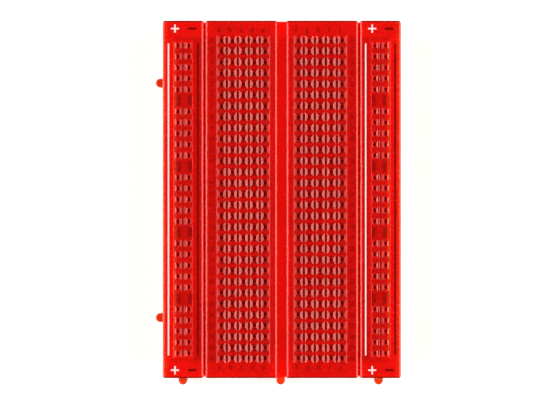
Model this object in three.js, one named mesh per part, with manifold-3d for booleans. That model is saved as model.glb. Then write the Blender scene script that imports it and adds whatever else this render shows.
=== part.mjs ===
// Half-size solderless breadboard: a terminal block with a power rail on each side that pulls off its tabs.
// Millimetres. +X runs across the columns from a to j, +Y runs along the board towards row 1, +Z is up.
// The origin is under the middle of the terminal block, on the surface that the board rests on.

import * as THREE from 'three';
import { mergeVertices } from 'three/addons/utils/BufferGeometryUtils.js';
import Module from 'manifold-3d';

const wasm = await Module();
wasm.setup();

// Grid of contact holes
const PITCH = 2.54;
const ROWS = 30;
const HOLES_PER_ROW = 5;
const HALF_ROW_CENTRE = 8.89; // middle of columns a to e, and of f to j, from the board's middle
const BUS_GROUPS = 5;
const HOLES_PER_GROUP = 5;
const HOLE_SIDE = 0.9;

// Housings
const BOARD_LENGTH = 82.5;
const HOUSING_HEIGHT = 8.5;
const BLOCK_WIDTH = 35.4;
const RAIL_WIDTH = 9.5;
const SEAM_GAP = 0.3;
const CORNER_RADIUS = 0.6;
const EDGE_CHAMFER = 0.375;
const TOP_PLATE = 2; // plastic between the top face and the clip slots
const SLOT_WIDTH = 1.85;
const SLOT_MARGIN = 1.02; // from the last contact's centre to the slot's end
const CHANNEL_WIDTH = 2.3;
const CHANNEL_DEPTH = 3.2;

// Interlock tabs on the front and left edges, and their sockets in the back and right edges
const TAB_WIDTH = 2;
const TAB_REACH = 1.8;
const TAB_HEIGHT = 4.4;
const TAB_ROOT = 0.5; // length of tab buried in the wall
const END_TAB_OFFSET = -0.25; // the end tab's centre from the module's middle
const SIDE_TAB_PLACES = [27.05, -27.5];
const SOCKET_CLEARANCE = 0.175; // on each side of the tab
const SOCKET_DEPTH = 2.1;
const SOCKET_HEIGHT = 4.6;

// Spring clips
const CLIP_MARGIN = 0.87; // from the last contact's centre to the strip's end
const CLIP_BASE_WIDTH = 1.5;
const CLIP_TIP_WIDTH = 0.84;
const CLIP_HEIGHT = 5.6;
const SHEET = 0.25;
const NOTCH_WIDTH = 1; // between two fingers, at their tips
const NOTCH_BOTTOM = 1.1;
const MODELLED_CLIP_ROWS = 23; // rows 1 to 23, on both sides of the channel

// Backing
const LINER = 0.125;
const FOAM = 1;
const FOAM_INSET = 0.25;

// Worked out from the dimensions above
const HOUSING_Z = LINER + FOAM;
const RAIL_CENTRE = BLOCK_WIDTH / 2 + SEAM_GAP + RAIL_WIDTH / 2;
const SLOT_HEIGHT = HOUSING_HEIGHT - TOP_PLATE;
const PAST = 1; // how far a cutter runs past the face that it opens
const ARC_SEGMENTS = 3; // a drawn arc gets twice as many straight edges

const redPlastic = { color: 0xe0200f, roughness: 0.35, metalness: 0 };
const springMetal = { color: 0xc9c4b8, roughness: 0.3, metalness: 1 };
const adhesiveFoam = { color: 0xe9e4d6, roughness: 0.95, metalness: 0 };
const linerPaper = { color: 0xd9c48c, roughness: 0.7, metalness: 0 };

// A closed three.js geometry as a solid that can be cut and joined.
function toSolid(geometry) {
  geometry.deleteAttribute('normal');
  geometry.deleteAttribute('uv');
  const merged = mergeVertices(geometry, 1e-4);
  return new wasm.Manifold(new wasm.Mesh({
    numProp: 3,
    vertProperties: Float32Array.from(merged.attributes.position.array),
    triVerts: Uint32Array.from(merged.index.array),
  }));
}

function toGeometry(solid) {
  const mesh = solid.getMesh();
  const geometry = new THREE.BufferGeometry();
  geometry.setAttribute('position', new THREE.BufferAttribute(mesh.vertProperties, 3));
  geometry.setIndex(new THREE.BufferAttribute(mesh.triVerts, 1));
  geometry.computeVertexNormals();
  return geometry;
}

const joined = (solids) => solids.reduce((whole, solid) => whole.add(solid));

// Positions of count places, one spacing apart, with their middle at zero.
function spread(count, spacing) {
  return Array.from({ length: count }, (_, i) => (i - (count - 1) / 2) * spacing);
}

// A box by its middle in x and y, and its lowest and highest z.
function boxBetween(width, length, low, high, x = 0, y = 0) {
  const geometry = new THREE.BoxGeometry(width, length, high - low);
  geometry.translate(x, y, (low + high) / 2);
  return toSolid(geometry);
}

function roundedRectangle(width, length, radius) {
  const x = width / 2 - radius;
  const y = length / 2 - radius;
  const shape = new THREE.Shape();
  shape.absarc(x, -y, radius, -Math.PI / 2, 0);
  shape.absarc(x, y, radius, 0, Math.PI / 2);
  shape.absarc(-x, y, radius, Math.PI / 2, Math.PI);
  shape.absarc(-x, -y, radius, Math.PI, Math.PI * 1.5);
  return shape;
}

function plate(shape, depth) {
  return new THREE.ExtrudeGeometry(shape, { depth, bevelEnabled: false, curveSegments: ARC_SEGMENTS });
}

// A module without holes: square below, with a chamfer round its top edge.
function moduleBody(width) {
  const lower = plate(roundedRectangle(width, BOARD_LENGTH, CORNER_RADIUS), HOUSING_HEIGHT / 2);
  const topOutline = roundedRectangle(
    width - 2 * EDGE_CHAMFER, BOARD_LENGTH - 2 * EDGE_CHAMFER, CORNER_RADIUS - EDGE_CHAMFER);
  const chamfered = new THREE.ExtrudeGeometry(topOutline, {
    depth: HOUSING_HEIGHT - 2 * EDGE_CHAMFER,
    bevelSize: EDGE_CHAMFER,
    bevelThickness: EDGE_CHAMFER,
    bevelSegments: 1,
    curveSegments: ARC_SEGMENTS,
  });
  chamfered.translate(0, 0, EDGE_CHAMFER);
  return toSolid(lower).add(toSolid(chamfered));
}

// A round-ended tongue across a wall face at x, y. It reaches out of the face along -Y, or along -X with
// alongX, and starts a length of root behind the face.
function tongue(x, y, alongX, { width, reach, root, low, high }) {
  const radius = width / 2;
  const shape = new THREE.Shape();
  shape.moveTo(radius, root);
  shape.lineTo(-radius, root);
  shape.absarc(0, radius - reach, radius, Math.PI, 2 * Math.PI);
  const geometry = plate(shape, high - low);
  if (alongX) geometry.rotateZ(-Math.PI / 2);
  geometry.translate(x, y, low);
  return toSolid(geometry);
}

const tab = (x, y, alongX) => tongue(x, y, alongX, {
  width: TAB_WIDTH, reach: TAB_REACH, root: TAB_ROOT, low: 0, high: TAB_HEIGHT,
});

const socket = (x, y, alongX) => tongue(x, y, alongX, {
  width: TAB_WIDTH + 2 * SOCKET_CLEARANCE, reach: SOCKET_DEPTH, root: PAST, low: -PAST, high: SOCKET_HEIGHT,
});

// A module with its tabs and sockets, before its holes are cut.
function interlockingBody(width) {
  const tabs = [
    tab(END_TAB_OFFSET, -BOARD_LENGTH / 2, false),
    ...SIDE_TAB_PLACES.map((y) => tab(-width / 2, y, true)),
  ];
  const sockets = [
    socket(END_TAB_OFFSET, BOARD_LENGTH / 2, false),
    ...SIDE_TAB_PLACES.map((y) => socket(width / 2, y, true)),
  ];
  return moduleBody(width).add(joined(tabs)).subtract(joined(sockets));
}

const contactHole = (x, y) =>
  boxBetween(HOLE_SIDE, HOLE_SIDE, SLOT_HEIGHT - PAST, HOUSING_HEIGHT + PAST, x, y);

const rowYs = spread(ROWS, PITCH).reverse(); // row 1 first
const halfRowXs = spread(HOLES_PER_ROW, PITCH);
const busYs = spread(BUS_GROUPS, (HOLES_PER_GROUP + 1) * PITCH)
  .flatMap((middle) => spread(HOLES_PER_GROUP, PITCH).map((y) => middle + y));
const busXs = spread(2, PITCH);

// Terminal block: two fields of 30 rows of five holes, each row over its own clip slot, and the channel.
function terminalBlock() {
  const slotLength = (HOLES_PER_ROW - 1) * PITCH + 2 * SLOT_MARGIN;
  const cutters = [boxBetween(
    CHANNEL_WIDTH, BOARD_LENGTH + 2 * PAST, HOUSING_HEIGHT - CHANNEL_DEPTH, HOUSING_HEIGHT + PAST)];
  for (const y of rowYs) {
    for (const middle of [-HALF_ROW_CENTRE, HALF_ROW_CENTRE]) {
      cutters.push(boxBetween(slotLength, SLOT_WIDTH, -PAST, SLOT_HEIGHT, middle, y));
      for (const x of halfRowXs) cutters.push(contactHole(middle + x, y));
    }
  }
  return interlockingBody(BLOCK_WIDTH).subtract(joined(cutters));
}

// Power rail: two columns of 25 holes in groups of five, each column over one long bus slot.
function powerRail() {
  const slotLength = busYs.at(-1) - busYs[0] + 2 * SLOT_MARGIN;
  const cutters = [];
  for (const x of busXs) {
    cutters.push(boxBetween(SLOT_WIDTH, slotLength, -PAST, SLOT_HEIGHT, x, 0));
    for (const y of busYs) cutters.push(contactHole(x, y));
  }
  return interlockingBody(RAIL_WIDTH).subtract(joined(cutters));
}

// A strip along X, folded to a U whose walls lean in to the jaw that grips a lead.
function foldedStrip(length) {
  const base = CLIP_BASE_WIDTH / 2;
  const tip = CLIP_TIP_WIDTH / 2;
  const section = new THREE.Shape([
    new THREE.Vector2(-base, 0),
    new THREE.Vector2(base, 0),
    new THREE.Vector2(tip, CLIP_HEIGHT),
    new THREE.Vector2(tip - SHEET, CLIP_HEIGHT),
    new THREE.Vector2(base - SHEET, SHEET),
    new THREE.Vector2(SHEET - base, SHEET),
    new THREE.Vector2(SHEET - tip, CLIP_HEIGHT),
    new THREE.Vector2(-tip, CLIP_HEIGHT),
  ]);
  const geometry = plate(section, length);
  geometry.translate(0, 0, -length / 2);
  geometry.applyMatrix4(new THREE.Matrix4().makeBasis(
    new THREE.Vector3(0, 1, 0), new THREE.Vector3(0, 0, 1), new THREE.Vector3(1, 0, 0)));
  return toSolid(geometry);
}

// A V-shaped cutter across the strip at x, narrow at the bottom of the gap between two fingers.
function notch(x) {
  const slope = NOTCH_WIDTH / 2 / (CLIP_HEIGHT - NOTCH_BOTTOM);
  const top = CLIP_HEIGHT + PAST;
  const half = slope * (top - NOTCH_BOTTOM);
  const outline = new THREE.Shape([
    new THREE.Vector2(0, NOTCH_BOTTOM),
    new THREE.Vector2(half, top),
    new THREE.Vector2(-half, top),
  ]);
  const geometry = plate(outline, CLIP_BASE_WIDTH + 2 * PAST);
  geometry.rotateX(Math.PI / 2);
  geometry.translate(x, CLIP_BASE_WIDTH / 2 + PAST, 0);
  return toSolid(geometry);
}

// Between two groups the strip is cut down to its flat base.
function groupGap(x) {
  const width = 2 * (PITCH - CLIP_MARGIN);
  return boxBetween(width, CLIP_BASE_WIDTH + 2 * PAST, SHEET, CLIP_HEIGHT + PAST, x);
}

// A clip with a contact jaw at each of the given places along X.
function springClip(places) {
  const gaps = places.slice(1).map((x, i) => {
    const middle = (x + places[i]) / 2;
    return x - places[i] > 1.5 * PITCH ? groupGap(middle) : notch(middle);
  });
  const length = places.at(-1) - places[0] + 2 * CLIP_MARGIN;
  return foldedStrip(length).subtract(joined(gaps));
}

const board = new THREE.Group();

function addPart(name, geometry, finish, x, y, z) {
  const mesh = new THREE.Mesh(geometry, new THREE.MeshStandardMaterial(finish));
  mesh.name = name;
  mesh.position.set(x, y, z);
  board.add(mesh);
  return mesh;
}

const modules = [
  { name: 'terminal_block', side: 'centre', x: 0, width: BLOCK_WIDTH, geometry: toGeometry(terminalBlock()) },
];
const railGeometry = toGeometry(powerRail());
for (const [side, x] of [['left', -RAIL_CENTRE], ['right', RAIL_CENTRE]]) {
  modules.push({ name: `${side}_power_rail`, side, x, width: RAIL_WIDTH, geometry: railGeometry });
}

for (const { name, side, x, width, geometry } of modules) {
  const outline = roundedRectangle(
    width - 2 * FOAM_INSET, BOARD_LENGTH - 2 * FOAM_INSET, CORNER_RADIUS - FOAM_INSET);
  addPart(name, geometry, redPlastic, x, 0, HOUSING_Z);
  addPart(`${side}_foam_pad`, plate(outline, FOAM), adhesiveFoam, x, 0, LINER);
  addPart(`${side}_release_liner`, plate(outline, LINER), linerPaper, x, 0, 0);
}

// One clip under each half row
const rowClip = toGeometry(springClip(halfRowXs));
for (const [letters, x] of [['a_e', -HALF_ROW_CENTRE], ['f_j', HALF_ROW_CENTRE]]) {
  for (let row = 1; row <= MODELLED_CLIP_ROWS; row += 1) {
    addPart(`clip_row_${String(row).padStart(2, '0')}_${letters}`, rowClip, springMetal, x, rowYs[row - 1],
      HOUSING_Z);
  }
}

// One long clip under each rail column: positive on the left of a rail, negative on the right
const busClip = toGeometry(springClip(busYs));
for (const [side, middle] of [['left', -RAIL_CENTRE], ['right', RAIL_CENTRE]]) {
  for (const [sign, x] of [['positive', busXs[0]], ['negative', busXs[1]]]) {
    addPart(`${side}_${sign}_bus_clip`, busClip, springMetal, middle + x, 0, HOUSING_Z)
      .rotation.z = Math.PI / 2;
  }
}

export default board;
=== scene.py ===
"""Solderless breadboard: fine housings, spring clips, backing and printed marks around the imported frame.

Shapes are worked out in millimetres, in the frame's own axes, and become metres when a piece is settled.
"""

import math
import random

import bpy
from mathutils import Matrix, Vector


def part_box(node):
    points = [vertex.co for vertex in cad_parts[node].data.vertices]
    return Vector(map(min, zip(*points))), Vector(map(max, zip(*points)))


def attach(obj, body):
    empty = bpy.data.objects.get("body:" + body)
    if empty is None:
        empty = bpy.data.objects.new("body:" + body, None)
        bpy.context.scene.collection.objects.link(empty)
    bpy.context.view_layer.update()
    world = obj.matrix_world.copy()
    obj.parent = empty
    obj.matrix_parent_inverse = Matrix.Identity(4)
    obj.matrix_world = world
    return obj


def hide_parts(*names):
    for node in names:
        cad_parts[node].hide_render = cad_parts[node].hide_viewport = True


MM = 0.001

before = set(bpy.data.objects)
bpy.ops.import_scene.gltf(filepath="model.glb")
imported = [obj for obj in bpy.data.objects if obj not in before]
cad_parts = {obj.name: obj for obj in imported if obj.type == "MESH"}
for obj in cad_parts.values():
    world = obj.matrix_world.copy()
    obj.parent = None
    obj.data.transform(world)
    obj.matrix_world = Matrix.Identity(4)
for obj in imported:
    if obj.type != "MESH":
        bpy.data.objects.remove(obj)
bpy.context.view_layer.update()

# ---------------------------------------------------------------- driving dimensions, in millimetres
PITCH = 2.54
ROWS = 30
HALF_ROW_CENTRE = 8.89
CLIP_NODE_ROWS = 23  # rows whose clips are nodes of the frame
CORNER_RADIUS = 0.6
EDGE_CHAMFER = (0.35, 0.235)  # across the top face and down the wall
EDGE_BREAK = 0.03  # both edges of the chamfer are broken by facets this wide
FOOT_CHAMFER = 0.12
SEAM_INSET = 0.13  # how far a wall beside another module stands back under its top edge
SEAM_LEAN = 0.14  # how far the same wall reaches out lower down
LEAN_DEPTH = 1.2

TAB_REACH = 1.8
TAB_WIDTH = 2.0
TAB_HEIGHT = 4.4
TAB_ROOT = 0.5
TAB_EDGE = (0.16, 0.07)  # of a tab's rounded top edge
END_TAB_OFFSET = -0.25
SIDE_TAB_PLACES = (27.05, -27.5)
SOCKET_WIDTH = 2.35
SOCKET_DEPTH = 2.1
SOCKET_HEIGHT = 4.6

TOP_PLATE = 2.0
SLOT_WIDTH = 1.85
SLOT_MARGIN = 1.02
CHANNEL_WIDTH = 2.3
CHANNEL_DEPTH = 3.2
CHANNEL_CHAMFER = (0.32, 0.215)  # across the top face and down the wall
FIELD_RECESS = 0.17
FIELD_BORDER = 0.15  # width of the slanted border round a sunken field
BLOCK_MARGIN = 0.96  # from the outermost holes to the edge of the block's field
RAIL_MARGIN = (0.91, 0.76, 1.04)  # the same on a rail: far from the block, near it and at the ends
BLOCK_HOLE = (0.72, 0.84)
BLOCK_FUNNEL = (1.98, 2.1, 0.46)  # across, along and deep
RAIL_HOLE = (0.72, 0.86)
RAIL_FUNNELS = ((1.66, 1.66, 0.26), (1.36, 1.66, 0.26))  # in the columns far from and near the block
RAIL_FUNNEL_SHIFTS = (0.12, -0.05)  # of the funnels' mouths towards the block
RIB_SIZE = (0.14, 1.5, 0.05)  # of the small ridges between a rail's two columns
RIB_SHIFT = 0.22  # of the ridges towards the block
RIB_SLOPE = 0.45  # of a ridge's width that each sloping side takes
PAST = 0.5  # how far a cutter runs past the face that it opens
FUNNEL_PAST = 0.04  # the same for a funnel

PRINT_THICKNESS = 0.02
LINE_OFFSET = 3.4  # a rail's printed lines from its middle
LINE_SIZE = (0.34, 72.0)
SIGN_OFFSETS = (-1.9, 2.07)  # plus and minus from a rail's middle
SIGN_Y = 39.4
SIGN_SIZE = 1.88
PLUS_STROKE = 0.38
MINUS_STROKE = 0.46
NUMBER_X = 16.15
NUMBER_SIZE = 1.35
LETTER_YS = (39.1, -38.65)  # of the letters printed at the back and at the front
LETTER_SIZE = 1.75
LETTER_SHIFTS = (-0.5, -0.35)  # the same, along X from their columns


def node_box(node):
    """A node's lowest and highest corner, in millimetres."""
    low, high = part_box(node)
    return Vector(low) / MM, Vector(high) / MM


def module_of(node, *seams):
    """A housing's size without its tabs, and which of its sides (-1 left, 1 right) have a seam."""
    low, high = node_box(node)
    wall = low.x + TAB_REACH
    return {
        "x": (wall + high.x) / 2,
        "width": high.x - wall,
        "length": 2 * high.y,
        "low": low.z,
        "high": high.z,
        "seams": seams,
    }


BLOCK = module_of("terminal_block", -1, 1)
RAILS = {"left": module_of("left_power_rail", 1), "right": module_of("right_power_rail", -1)}
UNDERSIDE = BLOCK["low"]
TOP = BLOCK["high"] - PRINT_THICKNESS  # the plastic's top face, under the printed marks
FIELD_Z = TOP - FIELD_RECESS
SLOT_TOP = TOP - TOP_PLATE


def spread(count, spacing):
    """Positions of count places, one spacing apart, with their middle at zero."""
    return [(i - (count - 1) / 2) * spacing for i in range(count)]


ROW_YS = spread(ROWS, PITCH)[::-1]
HALF_ROW_XS = spread(5, PITCH)
BUS_YS = [group + y for group in spread(5, 6 * PITCH) for y in spread(5, PITCH)]
BUS_XS = spread(2, PITCH)


# ---------------------------------------------------------------- outlines and closed meshes


def rectangle(x, y, width, length):
    w, l = width / 2, length / 2
    return [(x - w, y - l), (x + w, y - l), (x + w, y + l), (x - w, y + l)]


def rounded_rectangle(x, y, width, length, radius, steps=6):
    points = []
    for turn, (side_x, side_y) in enumerate([(1, -1), (1, 1), (-1, 1), (-1, -1)]):
        centre_x = x + side_x * (width / 2 - radius)
        centre_y = y + side_y * (length / 2 - radius)
        for i in range(steps + 1):
            angle = math.radians(90 * (turn - 1 + i / steps))
            points.append((centre_x + radius * math.cos(angle), centre_y + radius * math.sin(angle)))
    return points


def tongue(x, y, along_x, width, reach, root, steps=16):
    """A round-ended tongue across a face at x, y, reaching out along -Y, or along -X with along_x."""
    radius = width / 2
    points = [(radius, root), (-radius, root)]
    for i in range(steps + 1):
        angle = math.pi * (1 + i / steps)
        points.append((radius * math.cos(angle), radius - reach + radius * math.sin(angle)))
    if along_x:
        points = [(py, -px) for px, py in points]
    return [(x + px, y + py) for px, py in points]


def cross(x, y, size, stroke):
    s, t = size / 2, stroke / 2
    points = []
    for cos, sin in ((1, 0), (0, 1), (-1, 0), (0, -1)):
        for px, py in ((t, -s), (t, -t), (s, -t)):
            points.append((x + px * cos - py * sin, y + px * sin + py * cos))
    return points


def inset(outline, distance):
    """The anticlockwise outline moved inwards by distance, with mitred corners."""
    moved = []
    for i, point in enumerate(outline):
        here = Vector(point)
        before = (here - Vector(outline[i - 1])).normalized()
        after = (Vector(outline[(i + 1) % len(outline)]) - here).normalized()
        across = Vector((-before.y - after.y, before.x + after.x))
        moved.append(tuple(here + across * (distance / (1 + before.dot(after)))))
    return moved


SHARP_ANGLE = math.radians(20)  # between faces that meet in a visible edge


class Shells:
    """Closed shells gathered for one mesh."""

    def __init__(self):
        self.points, self.faces = [], []

    def loft(self, *rings):
        """Adds a closed shell through rings of (outline, z), lowest first."""
        start, n = len(self.points), len(rings[0][0])
        for outline, z in rings:
            self.points += [(x, y, z) for x, y in outline]
        for low in range(start, start + (len(rings) - 1) * n, n):
            for i in range(n):
                j = (i + 1) % n
                self.faces.append((low + i, low + j, low + n + j, low + n + i))
        last = start + (len(rings) - 1) * n
        self.faces.append(tuple(range(start + n - 1, start - 1, -1)))
        self.faces.append(tuple(range(last, last + n)))
        return self

    def piece(self, name):
        mesh = bpy.data.meshes.new(name)
        mesh.from_pydata(self.points, [], self.faces)
        return new_piece(name, mesh)


def new_piece(name, mesh):
    piece = bpy.data.objects.new(name, mesh)
    bpy.context.scene.collection.objects.link(piece)
    return piece


def apply_modifiers(piece):
    depsgraph = bpy.context.evaluated_depsgraph_get()
    mesh = bpy.data.meshes.new_from_object(piece.evaluated_get(depsgraph), depsgraph=depsgraph)
    piece.modifiers.clear()
    piece.data = mesh


def combine(piece, shells, operation):
    """Joins or cuts a piece with the given shells."""
    other = shells.piece("cutter")
    modifier = piece.modifiers.new("combine", "BOOLEAN")
    modifier.operation = operation
    modifier.solver = "MANIFOLD"
    modifier.object = other
    apply_modifiers(piece)
    bpy.data.objects.remove(other)


def settle(piece, material, body, slot, *nodes):
    """Turns a piece to metres and gives it its shading, material, body and replaced nodes; its slot is not
    used.
    """
    piece.data.transform(Matrix.Scale(MM, 4))
    piece.data.shade_smooth()
    piece.data.set_sharp_from_angle(angle=SHARP_ANGLE)
    piece.data.materials.clear()
    piece.data.materials.append(material)
    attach(piece, body)
    if nodes:
        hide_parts(*nodes)
    return piece


# ---------------------------------------------------------------- materials


class Nodes:
    """A material's node tree, with short calls that add and link nodes."""

    def __init__(self, name, **values):
        self.material = bpy.data.materials.new(name)
        self.material.use_nodes = True
        self.tree = self.material.node_tree
        self.shader = self.tree.nodes["Principled BSDF"]
        self.place = self.add("TexCoord").outputs["Object"]
        for key, value in values.items():
            self.shader.inputs[key.replace("_", " ")].default_value = value

    def add(self, kind, **settings):
        node = self.tree.nodes.new(f"ShaderNode{kind}")
        for key, value in settings.items():
            setattr(node, key, value)
        return node

    def feed(self, socket, value):
        if isinstance(value, tuple):
            socket.default_value = (*value, 1) if len(value) == 3 and socket.type == "RGBA" else value
        elif isinstance(value, (int, float)):
            socket.default_value = value
        else:
            self.tree.links.new(value, socket)

    def noise(self, size_mm, detail=3.0, stretch=(1, 1, 1)):
        """Noise with features of about size_mm, longer where stretch is below 1."""
        mapping = self.add("Mapping")
        self.feed(mapping.inputs["Vector"], self.place)
        mapping.inputs["Scale"].default_value = stretch
        noise = self.add("TexNoise")
        self.feed(noise.inputs["Vector"], mapping.outputs[0])
        noise.inputs["Scale"].default_value = 1 / (size_mm * MM)
        noise.inputs["Detail"].default_value = detail
        return noise.outputs["Fac"]

    def math(self, operation, *values):
        node = self.add("Math", operation=operation)
        for socket, value in zip(node.inputs, values):
            self.feed(socket, value)
        return node.outputs[0]

    def ramp(self, value, low, high, start=0.0, end=1.0):
        """Takes value from low..high smoothly to start..end."""
        node = self.add("MapRange", interpolation_type="SMOOTHSTEP")
        for socket, number in zip(node.inputs, (value, low, high, start, end)):
            self.feed(socket, number)
        return node.outputs["Result"]

    def mix(self, factor, a, b):
        """Colour a where factor is 0 and b where it is 1."""
        node = self.add("Mix", data_type="RGBA")
        self.feed(node.inputs[0], factor)
        self.feed(node.inputs[6], a)
        self.feed(node.inputs[7], b)
        return node.outputs[2]

    def bump(self, height, strength, depth_mm):
        node = self.add("Bump")
        node.inputs["Strength"].default_value = strength
        node.inputs["Distance"].default_value = depth_mm * MM
        self.feed(node.inputs["Height"], height)
        self.feed(self.shader.inputs["Normal"], node.outputs["Normal"])

    def axes_mm(self):
        """The place on the piece as three sockets, in millimetres."""
        scaled = self.add("VectorMath", operation="SCALE")
        self.feed(scaled.inputs[0], self.place)
        scaled.inputs["Scale"].default_value = 1 / MM
        split = self.add("SeparateXYZ")
        self.feed(split.inputs[0], scaled.outputs[0])
        return split.outputs


SOLID_RED = (0.80, 0.0030, 0.0005)
# The dark end of the painted shade.
DEEP_RED = (0.02, 0.0, 0.0)
THIN_RED = (0.80, 0.075, 0.010)  # where light shines through: the tabs and the rails' outer sides
# The colour of a painted glow.
PAINTED_GLOW_RED = (1.0, 0.006, 0.001, 1.0)
BLUR = 0.3  # how softly the painted shade of what is inside fades, in millimetres
CRISP = 0.04  # the same where a field or the channel ends
ROW_BLUR = 0.5  # the same along Y, between the rows of holes

# Levels are the upward part of a surface's normal, each pair from the start of a change to its end; by
# them light and shade are painted.
FACET_LEVELS = (0.98, 0.93)  # from flat to facet
EDGE_LEVELS = (0.3, 0.6)  # from wall to edge, which gets a painted highlight
WALL_LEVELS = (0.5, 0.2)  # from edge to wall, which gets painted shade low down
LEAN_LEVELS = (0.03, 0.08, 0.25, 0.4)  # of leaning walls, which get a painted glow, full from the second to the third
ALONG_TILTS = (0.2, 0.4)  # part of the normal along Y: from facets across to facets along, which get painted shade

# Shares are of the full colour and carry painted light and shade: 1 is SOLID_RED and 0 is DEEP_RED.
INNER_SHADE_SHARE = 0.74  # painted shade on margins away from the board's rim
END_SHARE = 0.9  # painted light on the block's margins at its ends, and at the ends of fields
# Painted shade along the top edges at the ends.
END_EDGE_SHADE_SHARE = 0.3
DEEP_WALL_SHADE_SHARE = 0.82  # painted shade on walls below the top plate
DEEP_WALL_BLUR = 0.6  # above and below the top plate's underside
# Painted shade near the board's sides.
RIM_SHARE = 0.88
TAB_SHARE = 0.9  # painted shade on the tabs at the board's sides
CLOUD_SIZE = 6.0  # of faintly darker and lighter patches
CLOUD_SHARES = (0.92, 1.02)
RIM_DISTANCES = (1.4, 0.6)  # inside the board's sides, where their painted light and shade begin and are full
TAB_DISTANCES = (0.05, 0.2)  # the same outside, for the tabs
RIM_THINNESS = 0.3  # how far the rails' outer sides take after THIN_RED, painted light shining through
ROW_ENDS = (0.35, 0.6)  # past the last holes, where the painted light at the field's end begins and is full

GLOSS = (0.2, 0.3)  # roughness, from smooth to dull patches
MATT_ROUGHNESS = 0.6  # on the outer facets of the outermost columns

# Glows are emission strengths: painted glow, where no lamp is, in the seams, the channel and the holes.
SEAM_PAINTED_GLOW = 0.17
CHANNEL_PAINTED_GLOW = 0.44
CHANNEL_GLOW_DEPTH = 1.1  # below the top face, where the channel's painted glow is full
HOLE_PAINTED_GLOWS = {"block": 0.32, "rails": 0.55}


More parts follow.
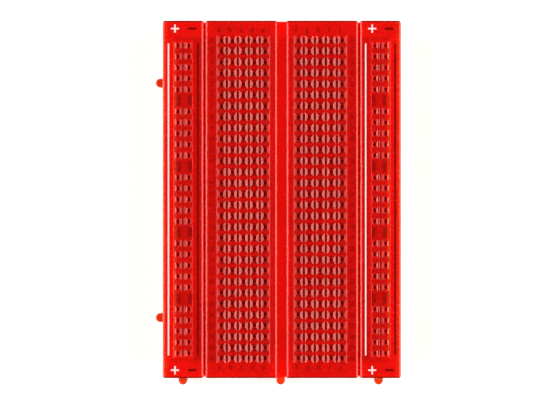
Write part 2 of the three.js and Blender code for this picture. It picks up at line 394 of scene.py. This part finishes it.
class Plastic(Nodes):
    """Red plastic with painted translucency: solid walls are painted bright and given a painted glow,
    and the hollows under the top plate are painted dark.

    Shares of the full colour, which hold this painted light and shade, are built up from the place on the
    housing and the tilt of the surface.
    """

    def __init__(self, name):
        super().__init__(
            name, IOR=1.48, Subsurface_Weight=1.0, Subsurface_Scale=0.002,
            Subsurface_Radius=(1.0, 0.1, 0.05), Emission_Color=PAINTED_GLOW_RED)
        self.x, self.y, self.z = self.axes_mm()
        self.away = self.math("ABSOLUTE", self.x)
        self.along = self.math("ABSOLUTE", self.y)
        # The normal's tilt, by which light and shade are painted on facets and edges.
        tilt = self.add("SeparateXYZ")
        self.feed(tilt.inputs[0], self.tree.nodes["Texture Coordinate"].outputs["Normal"])
        self.tilt_y = self.math("ABSOLUTE", tilt.outputs[1])
        self.level = tilt.outputs[2]

    def both(self, first, *others):
        for other in others:
            first = self.math("MULTIPLY", first, other)
        return first

    def blend(self, factor, a, b):
        """Number a where factor is 0 and b where it is 1."""
        node = self.add("Mix", data_type="FLOAT")
        for socket, value in zip((node.inputs[0], node.inputs[2], node.inputs[3]), (factor, a, b)):
            self.feed(socket, value)
        return node.outputs[0]

    def distance(self, value, middle):
        return self.math("ABSOLUTE", self.math("SUBTRACT", value, middle))

    def repeated(self, value, first, spacing):
        """The distance of value from the nearest of the places first, first + spacing, and so on."""
        shifted = self.math("FLOORED_MODULO", self.math("SUBTRACT", value, first - spacing / 2), spacing)
        return self.distance(shifted, spacing / 2)

    def within(self, distance, half, blur=BLUR):
        return self.ramp(distance, half - blur / 2, half + blur / 2, 1.0, 0.0)

    def finish(self, in_field, flat, across_facets, along_facets, margin, last_row, matt, hole_painted_glow,
               glow=0.0, thin_field=0.0):
        """Paints light and shade on the field, margins, edges, tabs and walls, and a glow in holes and
        seams.
        """
        # Facets are painted by their tilt: those along Y get painted shade.
        facet = self.ramp(self.level, *FACET_LEVELS)
        facets = self.blend(self.ramp(self.tilt_y, *ALONG_TILTS), across_facets, along_facets)
        deepest = FIELD_Z - BLOCK_FUNNEL[2]
        near_top = self.ramp(self.z, deepest - 0.05, deepest)
        # Chamfered edges on the margins get a painted highlight, the full colour.
        edge = self.both(facet, self.ramp(self.level, *EDGE_LEVELS))
        past_rows = self.ramp(self.along, *(last_row + past for past in ROW_ENDS))
        field = self.blend(past_rows, self.blend(facet, flat, facets), END_SHARE)
        share = self.blend(self.both(in_field, near_top), self.blend(edge, margin, 1.0), field)
        # Painted shade along the top edges at the ends.
        end = BLOCK["length"] / 2
        by_end = self.ramp(self.along, end - EDGE_CHAMFER[0] - 0.05, end - EDGE_CHAMFER[0] + 0.05)
        share = self.blend(self.both(by_end, edge), share, END_EDGE_SHADE_SHARE)
        # Painted shade on walls below the top plate.
        deep = self.ramp(self.z, SLOT_TOP + DEEP_WALL_BLUR, SLOT_TOP - DEEP_WALL_BLUR)
        deep_wall = self.both(self.ramp(self.level, *WALL_LEVELS), deep)
        # Painted shade by the board's sides and on the tabs, and faint random clouds.
        side = RAILS["right"]["x"] + RAILS["right"]["width"] / 2
        rim = self.ramp(self.away, *(side - inside for inside in RIM_DISTANCES))
        side_tab = self.ramp(self.away, *(side + outside for outside in TAB_DISTANCES))
        share = self.both(
            share,
            self.blend(deep_wall, 1.0, DEEP_WALL_SHADE_SHARE),
            self.ramp(rim, 0.0, 1.0, 1.0, RIM_SHARE),
            self.ramp(side_tab, 0.0, 1.0, 1.0, TAB_SHARE),
            self.ramp(self.noise(CLOUD_SIZE), 0.3, 0.7, *CLOUD_SHARES),
        )
        # Painted light shining through thin plastic tints the rails' outer sides and the tabs.
        end_tab = self.ramp(self.along, *(end + outside for outside in TAB_DISTANCES))
        thin = thin_field
        for place in (self.both(rim, RIM_THINNESS), side_tab, end_tab):
            thin = self.math("MAXIMUM", thin, place)
        colour = self.mix(thin, SOLID_RED, THIN_RED)
        self.feed(self.shader.inputs["Base Color"], self.mix(share, DEEP_RED, colour))
        gloss = self.ramp(self.noise(0.8, 4.0), 0.25, 0.75, *GLOSS)
        roughness = self.blend(self.both(in_field, facet, matt), gloss, MATT_ROUGHNESS)
        self.feed(self.shader.inputs["Roughness"], roughness)
        # Painted glow in the holes and on the leaning walls of the seams, where no lamp is.
        in_hole = self.both(in_field, self.ramp(self.z, deepest, deepest - 0.1), hole_painted_glow)
        start, full, last, stop = LEAN_LEVELS
        leaning = self.both(self.ramp(self.level, start, full), self.ramp(self.level, stop, last))
        in_seam = self.both(leaning, SEAM_PAINTED_GLOW)
        strength = self.math("ADD", self.math("ADD", in_hole, in_seam), glow)
        self.feed(self.shader.inputs["Emission Strength"], strength)
        self.bump(self.noise(0.35, 2.0), 0.12, 0.03)
        return self.material


BLOCK_SHARE = 0.7  # painted shade on the flat parts of the block's fields
RIDGE_SHADE_SHARE = 0.18  # painted shade on the ridges between neighbouring holes of a row, over the slots
RIDGE_REACH = 0.76  # half the length of the painted shade on such a ridge
BLOCK_FACETS = (0.72, (0.42, 0.72))  # painted light and shade shares of the facets across, and along from the hole to the mouth


def block_plastic():
    p = Plastic("red_plastic_block")
    half_rows = p.distance(p.away, HALF_ROW_CENTRE)
    from_row = p.repeated(p.y, ROW_YS[0], PITCH)
    in_field = p.both(p.within(half_rows, 2 * PITCH + BLOCK_MARGIN, CRISP),
                      p.within(p.along, ROW_YS[0] + BLOCK_MARGIN, CRISP))
    # Painted shade over the slots under the top plate, darkest on the ridges between holes.
    slot_shade = p.both(p.within(half_rows, 2 * PITCH + SLOT_MARGIN),
                       p.within(from_row, RIDGE_REACH, ROW_BLUR),
                       p.within(p.along, ROW_YS[0] + SLOT_WIDTH / 2))
    across_facets, along_facets = BLOCK_FACETS
    along_facets = p.ramp(p.z, FIELD_Z - BLOCK_FUNNEL[2], FIELD_Z, *along_facets)
    # Painted glow in the channel.
    in_channel = p.both(p.within(p.away, CHANNEL_WIDTH / 2 + 0.02, CRISP),
                        p.ramp(p.z, TOP - CHANNEL_CHAMFER[1], TOP - CHANNEL_GLOW_DEPTH))
    # Margins painted brighter towards the block's ends.
    margin = p.ramp(p.along, ROW_YS[0], ROW_YS[0] + BLOCK_MARGIN, INNER_SHADE_SHARE, END_SHARE)
    matt = p.ramp(half_rows, 2 * PITCH, 2 * PITCH + 0.2)
    flat = p.blend(slot_shade, BLOCK_SHARE, RIDGE_SHADE_SHARE)
    return p.finish(
        in_field, flat, across_facets, along_facets, margin, ROW_YS[0], matt, HOLE_PAINTED_GLOWS["block"],
        glow=p.both(in_channel, CHANNEL_PAINTED_GLOW))


RAIL_SHARE = 0.74  # painted shade on the flat parts of the rails' fields
HOLLOW_SHADE_SHARE = 0.47  # painted shade over the slots, in the gaps between groups of holes
HOLLOW_REACH = (0.5, 1.2)  # half of such a patch of painted shade, across and along
HOLLOW_BLUR = (0.45, 0.8)
SEEN_SHIFT = 0.22  # the painted shade of what is inside a rail lies this much nearer to the block
# Painted shade and highlight lines between a rail's columns, as (place, half width, share).
RIB_PAINTED_LINES = ((-0.08, 0.2, 0.4), (0.5, 0.13, 0.4), (0.25, 0.1, 0.9))
RIB_REACH = 0.8  # half of those lines' length
RIB_BLUR = 0.08
GAP_REACH = 1.6  # half of the gap in which they are left out
FAR_SIDE = (-1.2, -2.0)  # from a rail's middle, where the painted light of its far side begins and is full
OUTER_MARGIN = (-1.0, -3.0)  # the same for margins, which are painted brighter outwards
END_MARGIN = 1.5  # how far past the field they are painted brighter towards the ends
# Painted light at the far side: a brighter share and a share of THIN_RED.
FAR_SHARE = 0.95
FAR_THINNESS = 0.5
RAIL_FACETS = (0.76, 0.9, 0.72)  # painted light and shade shares of the facets across, of those at the far side, and along


def rail_plastic():
    p = Plastic("red_plastic_rails")
    inwards = p.math("SUBTRACT", RAILS["right"]["x"], p.away)
    far, near, end = RAIL_MARGIN
    field_end = BUS_YS[-1] + end
    in_field = p.both(p.within(p.distance(inwards, (near - far) / 2), (PITCH + far + near) / 2, CRISP),
                      p.within(p.along, field_end, CRISP))
    from_slot = p.distance(p.distance(inwards, SEEN_SHIFT), PITCH / 2)
    from_gap = p.repeated(p.y, 3 * PITCH, 6 * PITCH)
    # Painted shade over the slots in the gaps between groups of holes.
    hollow = p.both(p.within(from_slot, HOLLOW_REACH[0], HOLLOW_BLUR[0]),
                    p.within(from_gap, HOLLOW_REACH[1], HOLLOW_BLUR[1]),
                    p.within(p.along, BUS_YS[-1]))
    flat = p.blend(hollow, RAIL_SHARE, HOLLOW_SHADE_SHARE)
    in_row = p.within(p.repeated(p.y, 0.0, PITCH), RIB_REACH, ROW_BLUR)
    by_hole = p.math("SUBTRACT", in_row, p.both(in_row, p.within(from_gap, GAP_REACH, ROW_BLUR)))
    # Painted shade and highlight lines between the two columns.
    for place, half, share in RIB_PAINTED_LINES:
        line = p.within(p.distance(inwards, place), half, RIB_BLUR)
        flat = p.blend(p.both(line, by_hole), flat, share)
    # Painted light on the far side of the field.
    far_side = p.both(in_field, p.ramp(inwards, *FAR_SIDE))
    flat = p.blend(far_side, flat, FAR_SHARE)
    across_facets, far_facets, along_facets = RAIL_FACETS
    # Margins painted brighter outwards and towards the ends.
    margin = p.math("MAXIMUM", p.ramp(inwards, *OUTER_MARGIN, INNER_SHADE_SHARE, 1.0),
                    p.ramp(p.along, field_end, field_end + END_MARGIN, INNER_SHADE_SHARE, 1.0))
    outer_half = p.both(p.ramp(inwards, -PITCH / 2, -PITCH / 2 + 0.2), p.ramp(inwards, 0.1, -0.1))
    matt = p.math("MAXIMUM", outer_half, p.ramp(inwards, PITCH / 2, PITCH / 2 + 0.2))
    across_facets = p.blend(far_side, across_facets, far_facets)
    return p.finish(
        in_field, flat, across_facets, along_facets, margin, BUS_YS[-1], matt, HOLE_PAINTED_GLOWS["rails"],
        thin_field=p.both(far_side, FAR_THINNESS))


def spring_metal():
    """Nickel-plated strip, drawn along its length, with warmer bronze showing through in places."""
    nodes = Nodes("spring_metal", Metallic=1.0)
    drawn = nodes.noise(0.25, 4.0, (0.15, 1, 1))
    nodes.feed(nodes.shader.inputs["Base Color"],
               nodes.mix(nodes.ramp(nodes.noise(1.5), 0.45, 0.75), (0.66, 0.62, 0.55), (0.60, 0.47, 0.30)))
    nodes.feed(nodes.shader.inputs["Roughness"], nodes.ramp(drawn, 0.3, 0.7, 0.22, 0.42))
    nodes.bump(drawn, 0.15, 0.02)
    return nodes.material


def adhesive_foam():
    """Closed-cell foam: off-white, with small cells open at the cut edges."""
    nodes = Nodes("adhesive_foam", Roughness=0.95, Subsurface_Weight=0.3, Subsurface_Scale=0.0006)
    cells = nodes.add("TexVoronoi", feature="SMOOTH_F1")
    nodes.feed(cells.inputs["Vector"], nodes.place)
    cells.inputs["Scale"].default_value = 1 / (0.28 * MM)
    pores = nodes.ramp(cells.outputs["Distance"], 0.05, 0.6)
    # The pores are painted darker: painted shade in the open cells.
    nodes.feed(nodes.shader.inputs["Base Color"], nodes.mix(pores, (0.66, 0.63, 0.54), (0.86, 0.84, 0.77)))
    nodes.bump(pores, 0.6, 0.06)
    return nodes.material


def liner_paper():
    """Waxed kraft paper with fine fibres."""
    nodes = Nodes("liner_paper", Coat_Weight=0.3, Coat_Roughness=0.35)
    fibres = nodes.noise(0.3, 5.0, (1, 0.2, 1))
    nodes.feed(nodes.shader.inputs["Base Color"],
               nodes.mix(nodes.ramp(fibres, 0.35, 0.7), (0.62, 0.49, 0.28), (0.78, 0.66, 0.43)))
    nodes.feed(nodes.shader.inputs["Roughness"], nodes.ramp(fibres, 0.3, 0.7, 0.5, 0.7))
    nodes.bump(fibres, 0.25, 0.03)
    return nodes.material


def ink(name, thin, full, roughness):
    """Printed ink whose cover varies a little from thin to full."""
    nodes = Nodes(name, Specular_IOR_Level=0.04)
    cover = nodes.ramp(nodes.noise(0.4, 3.0), 0.25, 0.6)
    nodes.feed(nodes.shader.inputs["Base Color"], nodes.mix(cover, thin, full))
    nodes.feed(nodes.shader.inputs["Roughness"], nodes.ramp(cover, 0.0, 1.0, roughness - 0.1, roughness))
    nodes.bump(cover, 0.1, 0.02)
    return nodes.material


# ---------------------------------------------------------------- housings


def housing_body(name, module):
    """A module's solid body with its chamfered top edge, its tabs and its blind sockets."""
    plan, leant = (
        rounded_rectangle(
            module["x"] + sum(module["seams"]) * reach / 2, 0,
            module["width"] + len(module["seams"]) * reach, module["length"], CORNER_RADIUS)
        for reach in (-SEAM_INSET, SEAM_LEAN))
    across, down = EDGE_CHAMFER
    body = Shells().loft(
        (inset(leant, FOOT_CHAMFER), UNDERSIDE),
        (leant, UNDERSIDE + FOOT_CHAMFER),
        (leant, TOP - LEAN_DEPTH),
        (plan, TOP - down - EDGE_BREAK),
        (inset(plan, EDGE_BREAK / 2), TOP - down),
        (inset(plan, across - EDGE_BREAK), TOP - EDGE_BREAK / 2),
        (inset(plan, across), TOP),
    ).piece(name)
    front, back = -module["length"] / 2, module["length"] / 2
    left, right = module["x"] - module["width"] / 2, module["x"] + module["width"] / 2
    end_x = module["x"] + END_TAB_OFFSET
    tab_top = UNDERSIDE + TAB_HEIGHT
    for x, y, along_x in [(end_x, front, False)] + [(left, y, True) for y in SIDE_TAB_PLACES]:
        outline = tongue(x, y, along_x, TAB_WIDTH, TAB_REACH, TAB_ROOT)
        tab = Shells().loft(
            (inset(outline, FOOT_CHAMFER), UNDERSIDE),
            (outline, UNDERSIDE + FOOT_CHAMFER),
            (outline, tab_top - TAB_EDGE[0]),
            (inset(outline, TAB_EDGE[1]), tab_top - TAB_EDGE[1]),
            (inset(outline, TAB_EDGE[0]), tab_top),
        )
        combine(body, tab, "UNION")
    sockets = Shells()
    for x, y, along_x in [(end_x, back, False)] + [(right, y, True) for y in SIDE_TAB_PLACES]:
        outline = tongue(x, y, along_x, SOCKET_WIDTH, SOCKET_DEPTH, PAST)
        sockets.loft((outline, UNDERSIDE - PAST), (outline, UNDERSIDE + SOCKET_HEIGHT))
    combine(body, sockets, "DIFFERENCE")
    return body


def sunken_field(shells, x, y, width, length):
    """A shallow recess with a slanted border, whose rim is width by length."""
    slope = FIELD_BORDER / FIELD_RECESS
    rim = rectangle(x, y, width, length)
    shells.loft(
        (inset(rim, FIELD_BORDER), FIELD_Z),
        (inset(rim, -slope * PRINT_THICKNESS), TOP + PRINT_THICKNESS),
    )


def contact_hole(shells, x, y, hole, funnel, shift=0.0):
    """A rectangular hole with a funnel, whose mouth may be shifted along X."""
    across, along, deep = funnel
    floor = rectangle(x, y, *hole)
    mouth = rectangle(x + shift, y, across, along)
    past = 1 + FUNNEL_PAST / deep  # the cutter's slopes run on above the field
    above = [tuple(Vector(low).lerp(Vector(high), past)) for low, high in zip(floor, mouth)]
    shells.loft((floor, SLOT_TOP - PAST), (floor, FIELD_Z - deep), (above, FIELD_Z + FUNNEL_PAST))


def terminal_block(material):
    block = housing_body("terminal_block_housing", BLOCK)
    cuts, holes = Shells(), Shells()
    channel_length = BLOCK["length"] + 4 * PAST
    floor = rectangle(0, 0, CHANNEL_WIDTH, channel_length)
    across, down = CHANNEL_CHAMFER
    cuts.loft(
        (floor, TOP - CHANNEL_DEPTH),
        (floor, TOP - down),
        (inset(floor, -across * (1 + PRINT_THICKNESS / down)), TOP + PRINT_THICKNESS),
    )
    slot_length = HALF_ROW_XS[-1] - HALF_ROW_XS[0] + 2 * SLOT_MARGIN
    field_length = ROW_YS[0] - ROW_YS[-1] + 2 * (BLOCK_MARGIN + FIELD_BORDER)
    field_width = HALF_ROW_XS[-1] - HALF_ROW_XS[0] + 2 * (BLOCK_MARGIN + FIELD_BORDER)
    for middle in (-HALF_ROW_CENTRE, HALF_ROW_CENTRE):
        sunken_field(cuts, middle, 0, field_width, field_length)
        for y in ROW_YS:
            slot = rectangle(middle, y, slot_length, SLOT_WIDTH)
            cuts.loft((slot, UNDERSIDE - PAST), (slot, SLOT_TOP))
            for x in HALF_ROW_XS:
                contact_hole(holes, middle + x, y, BLOCK_HOLE, BLOCK_FUNNEL)
    combine(block, cuts, "DIFFERENCE")
    combine(block, holes, "DIFFERENCE")
    settle(block, material, "block", "red_plastic", "terminal_block")


def power_rail(side, material):
    module = RAILS[side]
    rail = housing_body(f"{side}_rail_housing", module)
    cuts, holes = Shells(), Shells()
    slot_length = BUS_YS[-1] - BUS_YS[0] + 2 * SLOT_MARGIN
    far, near, end = RAIL_MARGIN
    field_width = PITCH + far + near + 2 * FIELD_BORDER
    field_length = BUS_YS[-1] - BUS_YS[0] + 2 * (end + FIELD_BORDER)
    inwards = -math.copysign(1, module["x"])
    sunken_field(cuts, module["x"] + inwards * (near - far) / 2, 0, field_width, field_length)
    for near_block, column in enumerate(BUS_XS):
        x = module["x"] + inwards * column
        slot = rectangle(x, 0, SLOT_WIDTH, slot_length)
        cuts.loft((slot, UNDERSIDE - PAST), (slot, SLOT_TOP))
        for y in BUS_YS:
            shift = inwards * RAIL_FUNNEL_SHIFTS[near_block]
            contact_hole(holes, x, y, RAIL_HOLE, RAIL_FUNNELS[near_block], shift)
    combine(rail, cuts, "DIFFERENCE")
    combine(rail, holes, "DIFFERENCE")
    ribs = Shells()
    across, along, high = RIB_SIZE
    for y in BUS_YS:
        foot = rectangle(module["x"] + inwards * RIB_SHIFT, y, across, along)
        crest = inset(foot, RIB_SLOPE * across)
        ribs.loft((foot, FIELD_Z - PAST), (foot, FIELD_Z), (crest, FIELD_Z + high))
    combine(rail, ribs, "UNION")
    settle(rail, material, f"{side}_rail", "red_plastic", f"{side}_power_rail")


# ---------------------------------------------------------------- spring clips

SHEET = 0.2
FINGER_ROOT = 0.96  # half of a finger's width where it leaves the strip
FINGER_TIP = 0.72
# Half of a clip's section from the middle of its base to a finger's flared tip, as (across, up).
HALF_SECTION = [
    (0.30, 0.12), (0.56, 0.12), (0.68, 0.18), (0.74, 0.32), (0.75, 1.0), (0.73, 1.7), (0.66, 2.5),
    (0.52, 3.3), (0.35, 4.05), (0.22, 4.6), (0.17, 4.9), (0.20, 5.12), (0.31, 5.34), (0.46, 5.5),
]
FLAT_POINTS = 2  # of HALF_SECTION that lie in the flat base
STRIP_POINTS = 5  # of HALF_SECTION below the gaps between fingers


def clip_mesh(places):
    """A sprung strip with a contact jaw at each of the places along X, thickened from a surface."""
    section = [(-v, w) for v, w in HALF_SECTION[::-1]] + HALF_SECTION
    points, faces = [], []
    n, half = len(section), len(HALF_SECTION)
    root_height, tip_height = HALF_SECTION[STRIP_POINTS - 1][1], HALF_SECTION[-1][1]
    for place in places:
        for side in (-1, 1):
            for v, w in section:
                rise = max(0.0, (w - root_height) / (tip_height - root_height))
                reach = FINGER_ROOT + (FINGER_TIP - FINGER_ROOT) * rise
                points.append((place + side * reach, v, w))
    for i, place in enumerate(places):
        left, right = 2 * i * n, (2 * i + 1) * n
        faces += [(left + k, right + k, right + k + 1, left + k + 1) for k in range(n - 1)]
        if i + 1 < len(places):
            following = right + n
            kept = STRIP_POINTS if places[i + 1] - place < 1.5 * PITCH else FLAT_POINTS
            span = range(half - kept, half + kept - 1)
            faces += [(right + k, following + k, following + k + 1, right + k + 1) for k in span]
    mesh = bpy.data.meshes.new("clip")
    mesh.from_pydata(points, [], faces)
    model = new_piece("clip_pattern", mesh)
    thicken = model.modifiers.new("sheet", "SOLIDIFY")
    thicken.thickness = SHEET
    thicken.offset = 0
    apply_modifiers(model)
    mesh = model.data
    bpy.data.objects.remove(model)
    return mesh


def place_clip(name, mesh, x, y, turned, material, body, *nodes):
    piece = new_piece(name, mesh.copy())
    turn = Matrix.Rotation(math.radians(90), 4, "Z") if turned else Matrix.Identity(4)
    piece.data.transform(Matrix.Translation((x, y, UNDERSIDE)) @ turn)
    settle(piece, material, body, "spring_metal", *nodes)


def row_clips(material):
    mesh = clip_mesh(HALF_ROW_XS)
    for letters, x in (("a_e", -HALF_ROW_CENTRE), ("f_j", HALF_ROW_CENTRE)):
        for row, y in enumerate(ROW_YS, start=1):
            label = f"row_{row:02d}_{letters}"
            nodes = [f"clip_{label}"] if row <= CLIP_NODE_ROWS else []
            place_clip(f"spring_clip_{label}", mesh, x, y, False, material, "block", *nodes)


def bus_clips(material):
    mesh = clip_mesh(BUS_YS)
    for side, module in RAILS.items():
        for sign, column in zip(("positive", "negative"), BUS_XS):
            place_clip(f"{side}_{sign}_bus_strip", mesh, module["x"] + column, 0, True, material,
                       f"{side}_rail", f"{side}_{sign}_bus_clip")


# ---------------------------------------------------------------- foam backing and release liners

BACKINGS = (("centre", "block"), ("left", "left_rail"), ("right", "right_rail"))
BACKING_RADIUS = 0.5
FOAM_ROUGHNESS = 0.05  # how far the cut edge wanders
FOAM_STEP = 0.8
FOAM_HOLLOWS = ((0, 0.02), (0.25, 0.07), (0.5, 0.1), (0.75, 0.07), (1, 0.02))  # share of the height, depth
FOAM_GAP = 0.02  # between foam and plastic
LINER_EDGE = 0.02


def subdivided(outline, step):
    """The outline with a point at least every step."""
    points = []
    for i, point in enumerate(outline):
        here, there = Vector(point), Vector(outline[(i + 1) % len(outline)])
        count = max(1, math.ceil((there - here).length / step))
        points += [tuple(here.lerp(there, k / count)) for k in range(count)]
    return points


def foam_pad(side, body, material):
    """A pad cut from foam sheet: its edge is slightly hollow and rough."""
    low, high = node_box(f"{side}_foam_pad")
    width, length = high.x - low.x, high.y - low.y
    outline = rounded_rectangle((low.x + high.x) / 2, 0, width, length, BACKING_RADIUS, 4)
    outline = subdivided(outline, FOAM_STEP)
    rough = random.Random(side)
    rings = []
    for share, hollow in FOAM_HOLLOWS:
        pulled = inset(outline, hollow)
        deeper = inset(outline, hollow + FOAM_ROUGHNESS)
        ring = [tuple(Vector(a).lerp(Vector(b), rough.random())) for a, b in zip(pulled, deeper)]
        rings.append((ring, low.z + share * (high.z - low.z - FOAM_GAP)))
    foam_piece = Shells().loft(*rings).piece(f"{side}_foam")
    settle(foam_piece, material, body, "adhesive_foam", f"{side}_foam_pad")


def release_liner(side, body, material):
    low, high = node_box(f"{side}_release_liner")
    width, length = high.x - low.x, high.y - low.y
    outline = rounded_rectangle((low.x + high.x) / 2, 0, width, length, BACKING_RADIUS)
    eased = inset(outline, LINER_EDGE)
    liner = Shells().loft(
        (eased, low.z),
        (outline, low.z + LINER_EDGE),
        (outline, high.z - LINER_EDGE),
        (eased, high.z),
    )
    settle(liner.piece(f"{side}_liner"), material, body, "liner_paper", f"{side}_release_liner")


# ---------------------------------------------------------------- printed marks

SUNK = 0.01  # how far a mark's underside is below the plastic's face
LINE_RADIUS = 0.12
MINUS_RADIUS = 0.1
COLUMN_LETTERS = "abcdefghij"


def printed(outlines, name, material, body, slot):
    marks = Shells()
    for outline in outlines:
        marks.loft((outline, TOP - SUNK), (outline, TOP + PRINT_THICKNESS))
    settle(marks.piece(name), material, body, slot)


def rail_marks(side, white, dark):
    """White plus signs and line on a rail's left, dark minus signs and line on its right."""
    x, body = RAILS[side]["x"], f"{side}_rail"
    plus_x, minus_x = (x + offset for offset in SIGN_OFFSETS)
    sign_ys = (SIGN_Y, -SIGN_Y)
    white_line = rounded_rectangle(x - LINE_OFFSET, 0, *LINE_SIZE, LINE_RADIUS, 3)
    dark_line = rounded_rectangle(x + LINE_OFFSET, 0, *LINE_SIZE, LINE_RADIUS, 3)
    pluses = [cross(plus_x, y, SIGN_SIZE, PLUS_STROKE) for y in sign_ys]
    minuses = [rounded_rectangle(minus_x, y, SIGN_SIZE, MINUS_STROKE, MINUS_RADIUS, 3) for y in sign_ys]
    printed([white_line], f"{side}_positive_line", white, body, "white_print")
    printed(pluses, f"{side}_plus_signs", white, body, "white_print")
    printed([dark_line], f"{side}_negative_line", dark, body, "dark_print")
    printed(minuses, f"{side}_minus_signs", dark, body, "dark_print")


def lettering(entries, size, name, material):
    """Flat characters at the given (text, x, y) places, as one piece on the terminal block."""
    points, faces = [], []
    for text, x, y in entries:
        curve = bpy.data.curves.new("text", "FONT")
        curve.body = text
        curve.size = size
        curve.align_x, curve.align_y = "CENTER", "CENTER"
        curve.extrude = (PRINT_THICKNESS + SUNK) / 2
        curve.resolution_u = 3
        holder = new_piece("text", curve)
        depsgraph = bpy.context.evaluated_depsgraph_get()
        mesh = bpy.data.meshes.new_from_object(holder.evaluated_get(depsgraph), depsgraph=depsgraph)
        start = len(points)
        middle = TOP + (PRINT_THICKNESS - SUNK) / 2
        points += [(x + v.co.x, y + v.co.y, middle + v.co.z) for v in mesh.vertices]
        faces += [tuple(start + i for i in polygon.vertices) for polygon in mesh.polygons]
        bpy.data.objects.remove(holder)
    mesh = bpy.data.meshes.new(name)
    mesh.from_pydata(points, [], faces)
    mesh.validate()
    settle(new_piece(name, mesh), material, "block", "dark_print")


def block_lettering(material):
    column_xs = [middle + x for middle in (-HALF_ROW_CENTRE, HALF_ROW_CENTRE) for x in HALF_ROW_XS]
    for end, y, shift in zip(("back", "front"), LETTER_YS, LETTER_SHIFTS):
        letters = [(letter, x + shift, y) for letter, x in zip(COLUMN_LETTERS, column_xs)]
        lettering(letters, LETTER_SIZE, f"column_letters_{end}", material)
    for side, x in (("left", -NUMBER_X), ("right", NUMBER_X)):
        rows = [(str(row), x, y) for row, y in enumerate(ROW_YS, start=1)]
        lettering(rows, NUMBER_SIZE, f"row_numbers_{side}", material)


# ---------------------------------------------------------------- floor, lights and camera, in metres

FLOOR_SIZE = 3.0
FLOOR_DROP = 0.00005
FLOOR_GREYS = ((0.74, 0.74, 0.74), (0.77, 0.77, 0.77))
BACKDROP_GREY = (0.93, 0.93, 0.93, 1)  # what the camera sees past the floor
FILL_GREY = (0.05, 0.05, 0.05, 1)  # what lights the object from all sides
CAMERA_HEIGHT = 0.55  # above the top face
FRAME_WIDTH = 0.1292  # of what the camera sees at the top face
SENSOR = 36.0  # in millimetres, like the lens
CAMERA_PLACE = (-0.00042, -0.00014)
LIGHT_DISTANCE = 0.6
LIGHT_SIZE = (1.0, 0.8)
LIGHT_POWER = 11.0
LIGHT_COLOUR = (1.0, 0.97, 0.86)


def floor_and_world():
    mesh = bpy.data.meshes.new("floor")
    mesh.from_pydata([(x, y, 0) for x, y in rectangle(0, 0, FLOOR_SIZE, FLOOR_SIZE)], [], [(0, 1, 2, 3)])
    floor = new_piece("floor", mesh)
    floor.location.z = -FLOOR_DROP
    nodes = Nodes("floor", Roughness=0.9, Emission_Color=(1, 1, 1, 1), Emission_Strength=0.5)
    nodes.feed(nodes.shader.inputs["Base Color"], nodes.mix(nodes.noise(40.0), *FLOOR_GREYS))
    mesh.materials.append(nodes.material)
    world = bpy.data.worlds.new("studio")
    world.use_nodes = True
    tree = world.node_tree
    seen = tree.nodes["Background"]
    seen.inputs["Color"].default_value = BACKDROP_GREY
    fill = tree.nodes.new("ShaderNodeBackground")
    fill.inputs["Color"].default_value = FILL_GREY
    rays = tree.nodes.new("ShaderNodeLightPath")
    choose = tree.nodes.new("ShaderNodeMixShader")
    tree.links.new(rays.outputs["Is Camera Ray"], choose.inputs[0])
    tree.links.new(fill.outputs[0], choose.inputs[1])
    tree.links.new(seen.outputs[0], choose.inputs[2])
    tree.links.new(choose.outputs[0], tree.nodes["World Output"].inputs["Surface"])
    bpy.context.scene.world = world


def softboxes():
    """Two upright softboxes, to the left and right of the board, with their lower edges at the floor."""
    for side in (-1, 1):
        light = bpy.data.lights.new("softbox", "AREA")
        light.shape = "RECTANGLE"
        light.size, light.size_y = LIGHT_SIZE
        light.energy = LIGHT_POWER
        light.color = LIGHT_COLOUR
        lamp = bpy.data.objects.new("softbox", light)
        lamp.location = (side * LIGHT_DISTANCE, 0, LIGHT_SIZE[1] / 2)
        lamp.rotation_euler = Vector((side, 0, 0)).to_track_quat("Z", "Y").to_euler()
        lamp.visible_camera = False
        bpy.context.scene.collection.objects.link(lamp)


def camera():
    data = bpy.data.cameras.new("camera")
    data.sensor_width = SENSOR
    data.lens = SENSOR * CAMERA_HEIGHT / FRAME_WIDTH
    data.clip_start = 0.01
    held = bpy.data.objects.new("camera", data)
    held.location = (*CAMERA_PLACE, BLOCK["high"] * MM + CAMERA_HEIGHT)
    bpy.context.scene.collection.objects.link(held)
    bpy.context.scene.camera = held


camera()
floor_and_world()
softboxes()
bpy.context.scene.view_settings.view_transform = "Standard"

terminal_block(block_plastic())
rail_red = rail_plastic()
metal = spring_metal()
foam = adhesive_foam()
paper = liner_paper()
white_ink = ink("white_ink", (0.92, 0.58, 0.62), (0.95, 0.68, 0.74), 0.6)
dark_ink = ink("dark_ink", (0.26, 0.0003, 0.0), (0.18, 0.0002, 0.0), 0.6)
number_ink = ink("number_ink", (0.42, 0.0014, 0.0003), (0.30, 0.0008, 0.0002), 0.6)

for side in RAILS:
    power_rail(side, rail_red)
    rail_marks(side, white_ink, dark_ink)
for side, body in BACKINGS:
    foam_pad(side, body, foam)
    release_liner(side, body, paper)
row_clips(metal)
bus_clips(metal)
block_lettering(number_ink)
